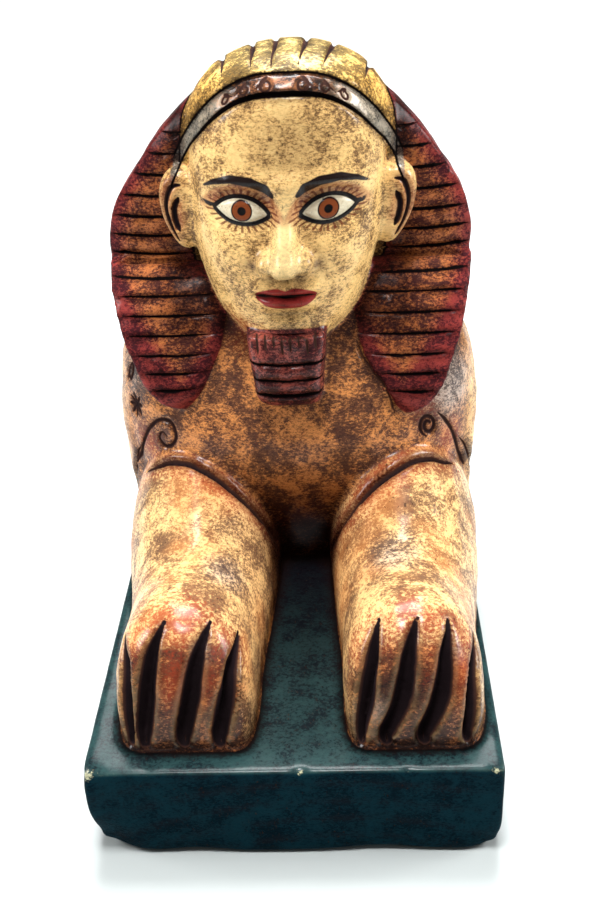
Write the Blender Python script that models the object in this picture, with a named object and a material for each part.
"""Carved and painted wooden sphinx, cut in one with its plinth from a single block.

Metres, +Z up. The sphinx looks along -Y. The origin is the middle of the underside.
Every form of the figure is set out on a carver's grid: one unit is 1/172 of the figure's height,
x runs across from the middle line, d runs back from the toe line and h runs up from the plinth.
"""

import math

import bmesh
import bpy
import numpy as np
from mathutils import Vector
from mathutils.bvhtree import BVHTree

# Driving sizes
FIGURE_HEIGHT = 0.172
PLINTH_WIDTH = 0.120
PLINTH_HEIGHT = 0.032
TOE_MARGIN = 0.008
RUMP_MARGIN = 0.006
PLINTH_EDGE_RADIUS = 0.0012
PLINTH_CORNER_RADIUS = 0.0028
SUNK_DEPTH = 0.008

# Gouge cuts
FOLD_WIDTH = 0.0034
FOLD_DEPTH = 0.0014
PLEAT_WIDTH = 0.0042
PLEAT_DEPTH = 0.0022
BAND_CUT_WIDTH = 0.0028
BAND_CUT_DEPTH = 0.0013
TOE_CUT_WIDTH = 0.0070
TOE_CUT_DEPTH = 0.0060
CREASE_WIDTH = 0.0064
CREASE_DEPTH = 0.0028
BEARD_CUT_WIDTH = 0.0026
BEARD_CUT_DEPTH = 0.0012
EAR_CUT_WIDTH = 0.0050
EAR_CUT_DEPTH = 0.0024
# How a gouge swells and thins out from its start to its end: share of its run, share of its full size
EVEN_CUT = ((0, 0.3), (0.12, 1), (0.88, 1), (1, 0.3))
WEDGE_CUT = ((0, 0.1), (0.35, 1), (0.8, 0.9), (1, 0.2))
LEAF_CUT = ((0, 0.12), (0.3, 0.75), (0.6, 1), (1, 0.8))

# Working grain of the mesh
VOXEL = 0.0012
FIGURE_TRIANGLES = 9300
STATION_STEPS = 4
RING_POINTS = 40

# The carver's grid
GRID_HEIGHT = 172
GRID_LENGTH = 258
UNIT = FIGURE_HEIGHT / GRID_HEIGHT
PLINTH_LENGTH = TOE_MARGIN + GRID_LENGTH * UNIT + RUMP_MARGIN
TOE_LINE = TOE_MARGIN - PLINTH_LENGTH / 2
SUNK = -SUNK_DEPTH / UNIT
# The figure doesn't stand quite plumb: how far each level lies to its left of the block's middle
LEAN = (
    # h, shift
    (0, 2.4),
    (76, 0.2),
    (110, 0),
    (165, 2.2),
    (172, 2.4),
)
# The block's sides still show on the figure, which widens by this much for each unit of height
FLANK_INSET = 0.7
FLANK_SPREAD = 0.09

# The folds of the headcloth
WING_FOLDS = (153.5, 147.0, 140.3, 133.5, 126.5, 119.5, 112.8, 106.4)
CLOTH_BREAK = 101.0
LAPPET_FOLDS = (96.2, 90.8, 85.2, 79.4, 73.8, 68.4)
LAPPET_TIPS = {-1: 63.0, 1: 60.0}
WING_OUTLINE = (
    # h, half width
    (84, 42),
    (90, 54),
    (96, 58),
    (103, 60),
    (112, 60.2),
    (124.5, 56.5),
    (135, 49.5),
    (143, 44),
    (149, 39),
    (157, 31),
    (163, 22),
)
LAPPET_OUTLINE = (
    # h, inner x, outer x, front d
    (61.5, 36, 41.0, 92.6),
    (63.5, 34, 44.5, 91.8),
    (69, 29.5, 49, 92.2),
    (77, 25.5, 52.5, 94.6),
    (84, 22.5, 55.5, 98.2),
    (92, 21, 57.8, 103.5),
    (99, 21, 59.4, 109.5),
    (104, 21, 60, 115.5),
)
# The headband's edges and the wedges cut over the crown
BAND_REACH = 33.4
BAND_POWER = 2.66
BAND_LOW, BAND_LOW_FALL = 163.5, 24.5
BAND_HIGH, BAND_HIGH_FALL = 168.5, 23.2
PLEATS = (
    # x at the headband, x over the crown
    (-18.6, -19.8),
    (-10.0, -10.5),
    (-4.1, -3.8),
    (3.6, 5.2),
    (10.3, 13.1),
    (22.5, 24.9),
)
TOE_CUTS = (
    # x on top, on the bend, halfway down, at the foot
    (-50.3, -50.5, -50.4, -49.8),
    (-36.8, -40.4, -43.0, -44.6),
    (-24.7, -27.7, -30.6, -33.2),
    (-15.7, -17.8, -20.3, -23.0),
    (24.7, 21.8, 19.4, 17.0),
    (34.9, 32.4, 29.6, 24.8),
    (43.2, 42.2, 40.3, 35.6),
    (53.6, 53.2, 51.6, 48.2),
)
PAW_CENTRE = 33.4


def place(x, d, h):
    """A point of the carver's grid, in metres."""
    flank = PLINTH_WIDTH / 2 / UNIT - FLANK_INSET + FLANK_SPREAD * max(h, 0)
    across = min(max(x + read(LEAN, h)[0], -flank), flank)
    return Vector((across * UNIT, TOE_LINE + d * UNIT, PLINTH_HEIGHT + h * UNIT))


def eased(rows, steps=STATION_STEPS):
    """The rows of a table with smoothly curving rows put in between."""
    rows = np.array(rows, float)
    padded = np.vstack([rows[:1], rows, rows[-1:]])
    out = []
    for a, b, c, d in zip(padded, padded[1:], padded[2:], padded[3:]):
        for k in range(steps):
            t = k / steps
            curve = 2 * b + (c - a) * t + (2 * a - 5 * b + 4 * c - d) * t**2
            out.append((curve + (3 * b - a - 3 * c + d) * t**3) / 2)
    out.append(rows[-1])
    return np.array(out)


def read(table, h):
    """A row of the table at height h, between the rows above and below it."""
    rows = np.array(table, float)
    return [float(np.interp(h, rows[:, 0], column)) for column in rows.T[1:]]


def power_wave(value, power):
    """A sine or cosine bent towards a square: power 2 keeps it round."""
    return math.copysign(abs(value) ** (2 / power), value)


def loft(rings):
    """A closed mesh through rings of equally many grid points, with flat ends."""
    mesh = bmesh.new()
    rows = [[mesh.verts.new(place(*point)) for point in ring] for ring in rings]
    for near, far in zip(rows, rows[1:]):
        for i in range(len(near)):
            j = (i + 1) % len(near)
            mesh.faces.new((near[i], near[j], far[j], far[i]))
    mesh.faces.new(list(reversed(rows[0])))
    mesh.faces.new(rows[-1])
    bmesh.ops.recalc_face_normals(mesh, faces=mesh.faces)
    return mesh


def upright_ring(d, centre_x, half_width, foot, spring, top, power):
    """A section across the figure: sides that close in slowly below the spring line, an arch above."""
    ring = []
    for i in range(RING_POINTS):
        turn = 2 * math.pi * i / RING_POINTS
        across = power_wave(math.cos(turn), power)
        up = power_wave(math.sin(turn), power)
        h = spring + up * (top - spring) if up > 0 else spring + up * (spring - foot)
        ring.append((centre_x + across * half_width, d, max(h, SUNK)))
    return ring


def level_ring(h, centre_x, half_width, front, middle, back, power):
    """A level section: its front and back bow out from the widest line."""
    ring = []
    for i in range(RING_POINTS):
        turn = 2 * math.pi * i / RING_POINTS
        across = power_wave(math.cos(turn), power)
        along = power_wave(math.sin(turn), power)
        d = middle + along * (back - middle) if along > 0 else middle + along * (middle - front)
        ring.append((centre_x + across * half_width, d, h))
    return ring


def torso():
    stations = (
        # d, half width, spring, top
        (106, 52, 40, 78),
        (112, 59.5, 44, 84),
        (124, 63.5, 46, 88),
        (140, 63, 44, 88),
        (158, 57, 40, 85),
        (176, 49, 36, 80),
        (195, 46, 32, 76),
        (214, 46, 28, 71),
        (232, 42, 24, 62),
        (245, 34, 18, 50),
        (253, 24, 12, 35),
        (256, 14, 8, 22),
    )
    return loft([upright_ring(d, 0, w, -70, s, t, 2.4) for d, w, s, t in eased(stations)])


def chest():
    stations = (
        # h, half width, front, back
        (SUNK, 52, 100, 184),
        (10, 56, 94, 184),
        (25, 60, 88.5, 184),
        (40, 62.5, 85, 182),
        (52, 63, 85.5, 178),
        (62, 62.5, 88.5, 172),
        (72, 60, 92.5, 163),
        (82, 52, 97, 154),
        (90, 40, 101, 150),
        (99, 24, 106, 148),
    )
    return loft([level_ring(h, 0, w, f, 134, b, 2.35) for h, w, f, b in eased(stations)])


def foreleg(side):
    stations = (
        # d, centre x, half width, top, squareness
        (0.0, 32.5, 13.5, 5, 2.35),
        (0.8, 32.6, 15.5, 10, 2.35),
        (2.0, 32.8, 17.0, 15.5, 2.35),
        (4.0, 33.0, 18.3, 21.5, 2.35),
        (7.0, 33.2, 19.3, 27.5, 2.35),
        (11.0, 33.4, 20.0, 32.0, 2.35),
        (16.0, 33.5, 20.6, 35.5, 2.35),
        (23.0, 33.5, 20.8, 37.0, 2.35),
        (32.0, 33.4, 20.7, 36.0, 2.3),
        (42.0, 33.2, 21.0, 33.8, 2.25),
        (53.0, 33.2, 22.0, 33.4, 2.15),
        (64.0, 33.6, 23.2, 36.0, 2.05),
        (76.0, 34.2, 24.6, 41.5, 1.95),
        (88.0, 34.6, 25.8, 47.0, 1.95),
        (102.0, 34.6, 26.0, 50.0, 2.0),
        (120.0, 34.6, 24.0, 50.0, 2.0),
    )
    rows = eased(stations, 2)
    return loft([upright_ring(d, side * x, w, -22, 6, t, p) for d, x, w, t, p in rows])


def haunch(side):
    stations = (
        # d, half width, top
        (166, 4, 14),
        (170, 9, 32),
        (178, 13.5, 48),
        (190, 17, 60),
        (206, 19, 66),
        (222, 18.5, 62),
        (236, 15.5, 50),
        (246, 10, 34),
        (251, 4, 16),
    )
    return loft([upright_ring(d, side * 39, w, -40, 14, t, 2.0) for d, w, t in eased(stations)])


def hind_foot(side):
    stations = (
        # d, half width, top
        (146, 6.5, 4),
        (147.5, 8.5, 9),
        (151, 10, 13.5),
        (157, 10.5, 16.5),
        (168, 10, 17),
        (185, 9.5, 18),
        (205, 9, 18),
    )
    return loft([upright_ring(d, side * 47, w, -20, 4, t, 2.3) for d, w, t in eased(stations, 2)])


def tail():
    """The tail comes round the figure's left haunch, lies along the plinth and curls up the thigh."""
    stations = (
        # x, d, h, radius
        (0, 248, 14, 6),
        (14, 253, 8, 5.6),
        (30, 251.5, 5, 5.4),
        (43, 245, 4.5, 5.2),
        (52, 234, 4.5, 5),
        (54.5, 220, 5, 4.8),
        (55, 206, 9, 4.6),
        (54.5, 194, 17, 4.6),
        (52, 185, 28, 5),
        (49, 181, 38, 5.8),
        (47.5, 179, 44, 3.6),
    )
    rows = eased(stations, 3)
    points = [Vector(row[:3]) for row in rows]
    rings = []
    for i, row in enumerate(rows):
        along = (points[min(i + 1, len(rows) - 1)] - points[max(i - 1, 0)]).normalized()
        across = along.orthogonal() if i == 0 else across - along * across.dot(along)
        across.normalize()
        other = along.cross(across)
        turns = [2 * math.pi * k / 12 for k in range(12)]
        radius = float(row[3])
        rim = [points[i] + radius * (math.cos(t) * across + math.sin(t) * other) for t in turns]
        rings.append([(p.x, p.y, max(p.z, SUNK)) for p in rim])
    return loft(rings)


def skull():
    stations = (
        # h, half width, front, middle, back
        (83, 8, 102, 112, 140),
        (86, 14, 93.5, 112, 145),
        (91, 19.5, 89, 112, 150),
        (98, 24, 87, 113, 154),
        (108, 27.6, 86.4, 114, 158),
        (118, 29.6, 86.4, 115, 160),
        (130, 30.5, 87.4, 116, 161),
        (142, 30.5, 88.4, 117, 160),
        (152, 29.5, 90.6, 118, 158),
        (158, 27.5, 92.2, 119, 155),
        (162, 25.0, 94.4, 119, 152),
        (166, 20.0, 101, 119, 147),
    )
    return loft([level_ring(h, 0, w, f, m, b, 2.25) for h, w, f, m, b in eased(stations)])


def cap():
    """The headcloth over the top of the head, down to the nape."""
    stations = (
        # h, half width, front, back
        (84, 20, 120, 162),
        (100, 30, 118, 168),
        (118, 33.5, 114, 170),
        (132, 34.4, 108, 170),
        (144, 34.0, 102, 169),
        (152, 32.6, 98, 166),
        (159, 29.5, 95.4, 160.5),
        (163.5, 26.2, 94.2, 155),
        (166, 23.5, 95.6, 151),
        (169, 18.0, 100, 145),
        (171.4, 10.5, 106.5, 136),
        (172, 4.0, 113, 128),
    )
    return loft([level_ring(h, 0, w, f, 122, b, 2.15) for h, w, f, b in eased(stations)])


def wing_front(h):
    """How far back the front of the headcloth's wings stands at height h."""
    return 121.5 - 0.10 * (h - 100)


def hood():
    """The flaring sides of the headcloth: a broad front plane behind the ears, rounded behind."""
    rings = []
    for h, w in eased(WING_OUTLINE, 3):
        front = wing_front(h)
        back = 170 - 0.012 * (h - 110) ** 2 if h > 110 else 170
        ring = [(x * w, front + 6 * abs(x) ** 8 - 0.5, h) for x in np.linspace(-1, 1, 15)]
        for i in range(25):
            turn = math.pi * i / 24
            across = power_wave(math.cos(turn), 2.2)
            along = power_wave(math.sin(turn), 2.2)
            ring.append((across * w, front + 11 + along * (back - front - 11), h))
        rings.append(ring)
    return loft(rings)


def lappet_level(h, side):
    """A height on the lappet table, drawn out to that side's tip."""
    lowest, highest = LAPPET_OUTLINE[0][0], LAPPET_OUTLINE[-1][0]
    return highest - (highest - h) * (highest - LAPPET_TIPS[side]) / (highest - lowest)


def lappet(side):
    """A tapered front end of the headcloth, lying on the chest."""
    rings = []
    for h, inner, outer, front in eased(LAPPET_OUTLINE, 3):
        h = lappet_level(h, side)
        wide = outer - inner
        turned = 0.10 * wide
        face = []
        for share in np.linspace(0, 1, 9):
            bow = 1.4 * (2 * share - 1) ** 4
            face.append((side * (inner + share * wide), front + turned * share**2 + bow, h))
        rings.append(face + [(side * outer, front + 24, h), (side * inner, front + 18, h)])
    return loft(rings)


def nape_tail():
    """The gathered end of the headcloth, lying on the back."""
    stations = (
        # d, half width, top
        (150, 22, 99),
        (160, 19, 97.5),
        (170, 15.5, 93),
        (180, 12.5, 87.5),
        (190, 10.5, 83),
        (199, 8.5, 79.5),
        (204, 6, 75),
    )
    return loft([upright_ring(d, 0, w, 50, t - 6, t, 2.8) for d, w, t in eased(stations)])


def beard():
    stations = (
        # h, half width, front, back
        (68.0, 8.8, 84.0, 102),
        (70.0, 10.4, 82.0, 102),
        (77, 11.2, 80.8, 104),
        (86, 12.2, 81.5, 106),
        (92, 12.6, 84.0, 106),
    )
    return loft([level_ring(h, -0.7, w, f, 90, b, 3.6) for h, w, f, b in eased(stations)])


def ear(side):
    stations = (
        # d, share of the ear's size
        (108, 0.62),
        (109.2, 0.88),
        (111.5, 1.0),
        (115, 1.0),
        (123, 0.75),
    )
    rings = []
    for d, share in stations:
        ring = []
        for i in range(20):
            turn = 2 * math.pi * i / 20
            up = math.sin(turn)
            reach = 6.4 * (1 + 0.24 * up)
            x = 32.6 + math.cos(turn) * reach * share
            h = 124 + up * 12.2 * share
            ring.append((side * (x + 0.10 * (h - 124)), d, h))
        rings.append(ring)
    return loft(rings)


def nose():
    stations = (
        # h, half width, front d
        (112.4, 4.6, 80.5),
        (113.6, 6.0, 77.4),
        (116.5, 5.8, 75.9),
        (121.0, 4.7, 78.4),
        (127.0, 4.2, 81.4),
        (133.0, 4.2, 84.0),
        (139.0, 5.6, 86.0),
        (143.0, 7.0, 88.6),
    )
    return loft([level_ring(h, 0, w, f, 90, 98, 2.1) for h, w, f in eased(stations)])


def nostril(side):
    stations = (
        # h, half width, front d
        (112.6, 2.0, 83.5),
        (113.6, 3.4, 81.6),
        (115.6, 3.9, 80.6),
        (117.8, 3.2, 81.6),
        (119.4, 1.6, 84.0),
    )
    return loft([level_ring(h, side * 5.2, w, f, 86, 92, 2.0) for h, w, f in stations])


def fused(parts, voxel):
    """The parts grown into one closed skin."""
    whole = bmesh.new()
    scratch = bpy.data.meshes.new("scratch")
    for part in parts:
        part.to_mesh(scratch)
        whole.from_mesh(scratch)
        part.free()
    whole.to_mesh(scratch)
    whole.free()
    block = bpy.data.objects.new("block", scratch)
    bpy.context.scene.collection.objects.link(block)
    remesh = block.modifiers.new("Fuse", "REMESH")
    remesh.mode = "VOXEL"
    remesh.voxel_size = voxel
    smooth = block.modifiers.new("Round", "SMOOTH")
    smooth.factor = 0.5
    smooth.iterations = 3
    graph = bpy.context.evaluated_depsgraph_get()
    skin = bpy.data.meshes.new_from_object(block.evaluated_get(graph))
    bpy.data.objects.remove(block)
    return skin


def bell(x, y, power=1.0):
    """A smooth bump of height 1 with the given half widths already divided out."""
    return np.exp(-((x**2 + y**2) ** power))


def face_relief(x, h):
    """How far the face stands out over the plain head, in grid units: calm and even on both sides."""
    side = np.abs(x)
    brow_h = 139.6 - 0.011 * (side - 10) ** 2
    brow = 1.3 * np.exp(-(((h - brow_h) / 2.4) ** 2)) * np.exp(-(((side - 13) / 11) ** 4))
    socket = -2.8 * bell((side - 13) / 9.0, (h - 131.2) / 6.2, 1.4)
    eyeball = 2.5 * bell((side - 13) / 7.0, (h - 130.6) / 4.0, 2.0)
    cheek = 1.5 * bell((side - 17) / 8.5, (h - 117) / 8)
    muzzle = 1.8 * bell(x / 11, (h - 105) / 7.5, 1.4)
    upper = 1.6 * np.exp(-((x / 9) ** 4)) * np.exp(-(((h - 107.0 - 0.01 * side) / 1.6) ** 2))
    lower = 1.8 * np.exp(-((x / 7.6) ** 4)) * np.exp(-(((h - 102.9) / 1.9) ** 2))
    parting = -1.5 * np.exp(-((x / 10) ** 6)) * np.exp(-(((h - 105.0) / 0.9) ** 2))
    under_lip = -1.0 * bell(x / 8, (h - 99.0) / 1.8)
    chin = 2.0 * bell(x / 8.5, (h - 93.0) / 4.5, 1.3)
    groove = -0.7 * bell(x / 1.7, (h - 110.2) / 1.7)
    return brow + socket + eyeball + cheek + muzzle + upper + lower + parting + under_lip + chin + groove


def mirrored(line):
    return [(-x, d, h) for x, d, h in line]


def wing_cuts():
    lines = []
    for h in WING_FOLDS + (CLOTH_BREAK,):
        outer = read(WING_OUTLINE, h)[0]
        front = wing_front(h)
        inner = 33 if h > 108 else 26
        line = [(inner, front, h + 0.6), ((inner + outer) / 2, front, h), (outer - 3, front + 1, h)]
        lines.append(line + [(outer, front + 5, h), (outer, front + 16, h + 0.8)])
    return lines


def lappet_cuts(side):
    lines = []
    for h in LAPPET_FOLDS:
        inner, outer, front = read(LAPPET_OUTLINE, h)
        h = lappet_level(h, side)
        middle = (inner + outer) / 2
        line = [(inner, front + 4, h + 0.8), (inner + 0.8, front + 1, h + 0.8)]
        line += [(middle, front + 1, h), (outer - 1.5, front + 4, h - 0.6), (outer, front + 10, h - 0.6)]
        lines.append([(side * x, d, h) for x, d, h in line])
    return lines


def pleat_cuts():
    """Wedges cut over the crown, pointed at the headband and running out behind."""
    lines = []
    for near, far in PLEATS:
        sag = 0.011 * far**2
        line = [(near, 102 + 0.011 * near**2, 169.2 - 0.0115 * near**2), (far, 122, 171.6 - sag)]
        lines.append(line + [(far * 1.05, 141, 167 - sag), (far * 1.08, 155, 158 - sag)])
    return lines


def band_edge(height, fall):
    """One edge of the headband, from temple to temple."""
    line = []
    for x in np.linspace(-BAND_REACH, BAND_REACH, 15):
        share = abs(x) / BAND_REACH
        line.append((x, 95 + 18 * share**3, height - fall * share**BAND_POWER))
    return line


def toe_cuts():
    """Four gouges between the toes of each paw, from its top down the front."""
    lines = []
    for top, bend, middle, foot in TOE_CUTS:
        off = (abs(abs(top) - PAW_CENTRE) / 20) ** 2
        line = [(top, 16.5 + 6 * off, 34.5 - 9 * off), (bend, 10.5, 28.5 - 6 * off)]
        lines.append(line + [(middle, 4.5, 16), (foot, 1.0, 5), (foot, 0.3, 1.5)])
    return lines


def crease_cuts():
    """The deep lines where the forelegs come out of the chest."""
    near = [(-57, 96, 40), (-53, 93, 43.5), (-44, 88.5, 48.5), (-35, 85, 48.5), (-27, 82.5, 44)]
    near += [(-18.5, 81, 36), (-12.5, 83, 24), (-10, 88, 11)]
    far = [(57, 96, 41), (53, 92, 44.5), (47, 89, 47.5), (39, 85, 48), (32, 82, 44.5)]
    far += [(23, 79, 38.5), (16.5, 78, 29), (12.5, 80, 19), (10, 86, 9)]
    return [near, far]


def beard_cuts():
    lines = []
    for h in (73.0, 78.2, 83.6):
        lines.append([(-10, 82.5, h), (-0.7, 81, h - 0.4), (8.6, 82.5, h)])
    return lines


def carve(mesh):
    """Raises the face and cuts every gouge into the skin."""
    count = len(mesh.vertices)
    points = np.empty(count * 3)
    mesh.vertices.foreach_get("co", points)
    points = points.reshape(-1, 3)
    normals = np.empty(count * 3)
    mesh.vertices.foreach_get("normal", normals)
    normals = normals.reshape(-1, 3)
    tree = BVHTree.FromPolygons([tuple(p) for p in points], [tuple(f.vertices) for f in mesh.polygons])
    sunk = np.zeros(count)

    def gouge(line, width, depth, swell=EVEN_CUT):
        """Cuts a V along the line, laid on the skin."""
        snapped = [tree.find_nearest(place(*point))[0] for point in eased(line, 8)]
        path = np.array([tuple(spot) for spot in snapped])
        steps = np.linalg.norm(np.diff(path, axis=0), axis=1)
        run = np.concatenate([[0], np.cumsum(steps)])
        fine = np.arange(0, run[-1], VOXEL / 3)
        path = np.array([np.interp(fine, run, column) for column in path.T]).T
        reach = width / 2
        near = np.all((points > path.min(0) - reach) & (points < path.max(0) + reach), axis=1)
        near = np.flatnonzero(near)
        for part in np.array_split(near, 1 + len(near) // 2000):
            gap = np.linalg.norm(points[part][:, None] - path[None], axis=2)
            nearest = gap.argmin(1)
            size = np.interp(fine[nearest] / run[-1], *np.array(swell).T)
            profile = np.clip(1 - gap.min(1) / (reach * size), 0, 1)
            sunk[part] = np.maximum(sunk[part], depth * size * profile)

    for line in wing_cuts():
        width = FOLD_WIDTH * (1.25 if line[1][2] == CLOTH_BREAK else 1)
        gouge(line, width, FOLD_DEPTH)
        gouge(mirrored(line), width, FOLD_DEPTH)
    for line in lappet_cuts(-1) + lappet_cuts(1):
        gouge(line, FOLD_WIDTH, FOLD_DEPTH)
    for line in pleat_cuts():
        gouge(line, PLEAT_WIDTH, PLEAT_DEPTH, WEDGE_CUT)
    for line in (band_edge(BAND_LOW, BAND_LOW_FALL), band_edge(BAND_HIGH, BAND_HIGH_FALL)):
        gouge(line, BAND_CUT_WIDTH, BAND_CUT_DEPTH)
    for line in beard_cuts():
        gouge(line, BEARD_CUT_WIDTH, BEARD_CUT_DEPTH)
    for line in toe_cuts():
        gouge(line, TOE_CUT_WIDTH, TOE_CUT_DEPTH, LEAF_CUT)
    for line in crease_cuts():
        gouge(line, CREASE_WIDTH, CREASE_DEPTH)
    for side in (-1, 1):
        ear_line = [(33.6, 109, 132.5), (35.6, 109, 127), (34.8, 109, 120), (33.2, 109, 115)]
        gouge([(side * x, d, h) for x, d, h in ear_line], EAR_CUT_WIDTH, EAR_CUT_DEPTH)

    grid = points / UNIT - np.array([0, TOE_LINE / UNIT, PLINTH_HEIGHT / UNIT])
    x, d, h = grid.T
    x = x - np.interp(h, *np.array(LEAN).T)
    facing = np.clip(-normals[:, 1] * 2.2 - 0.2, 0, 1) * (d < 100) * (h > 85) * (h < 158)
    raised = face_relief(x, h) * facing * np.clip((31 - np.abs(x)) / 5, 0, 1) * UNIT
    points[:, 1] -= raised
    points -= normals * sunk[:, None]
    mesh.vertices.foreach_set("co", points.ravel())
    mesh.update()


def plinth():
    """The block under the figure, with its edges softened."""
    block = bmesh.new()
    bmesh.ops.create_cube(block, size=1)
    for vert in block.verts:
        vert.co.x *= PLINTH_WIDTH
        vert.co.y *= PLINTH_LENGTH
        vert.co.z = (vert.co.z + 0.5) * PLINTH_HEIGHT
    uprights = [e for e in block.edges if abs(e.verts[0].co.z - e.verts[1].co.z) > PLINTH_HEIGHT / 2]
    bmesh.ops.bevel(
        block, geom=uprights, offset=PLINTH_CORNER_RADIUS, segments=4, profile=0.5, affect="EDGES"
    )
    rims = [e for e in block.edges if abs(e.verts[0].co.z - e.verts[1].co.z) < PLINTH_HEIGHT / 2]
    bmesh.ops.bevel(
        block, geom=rims, offset=PLINTH_EDGE_RADIUS, segments=2, profile=0.5, affect="EDGES"
    )
    mesh = bpy.data.meshes.new("plinth_block")
    block.to_mesh(mesh)
    block.free()
    made = bpy.data.objects.new("plinth_block", mesh)
    bpy.context.scene.collection.objects.link(made)
    made.hide_render = True
    made.display_type = "WIRE"
    return made


def painted_wood():
    material = bpy.data.materials.new("painted_wood")
    material.use_nodes = True
    shader = material.node_tree.nodes["Principled BSDF"]
    shader.inputs["Base Color"].default_value = (0.62, 0.36, 0.12, 1)
    shader.inputs["Roughness"].default_value = 0.42
    shader.inputs["Metallic"].default_value = 0.0
    return material


def main():
    for old in list(bpy.data.objects):
        bpy.data.objects.remove(old)
    parts = [torso(), chest(), tail(), skull(), cap(), hood(), nape_tail(), beard(), nose()]
    for side in (-1, 1):
        parts += [foreleg(side), haunch(side), hind_foot(side), lappet(side), ear(side), nostril(side)]
    skin = fused(parts, VOXEL)
    carve(skin)
    figure = bpy.data.objects.new("sphinx", skin)
    bpy.context.scene.collection.objects.link(figure)
    skin.materials.append(painted_wood())
    thin = figure.modifiers.new("Thin", "DECIMATE")
    thin.ratio = FIGURE_TRIANGLES / (2 * len(skin.polygons))
    union = figure.modifiers.new("Stand", "BOOLEAN")
    union.operation = "UNION"
    union.solver = "EXACT"
    union.object = plinth()


main()
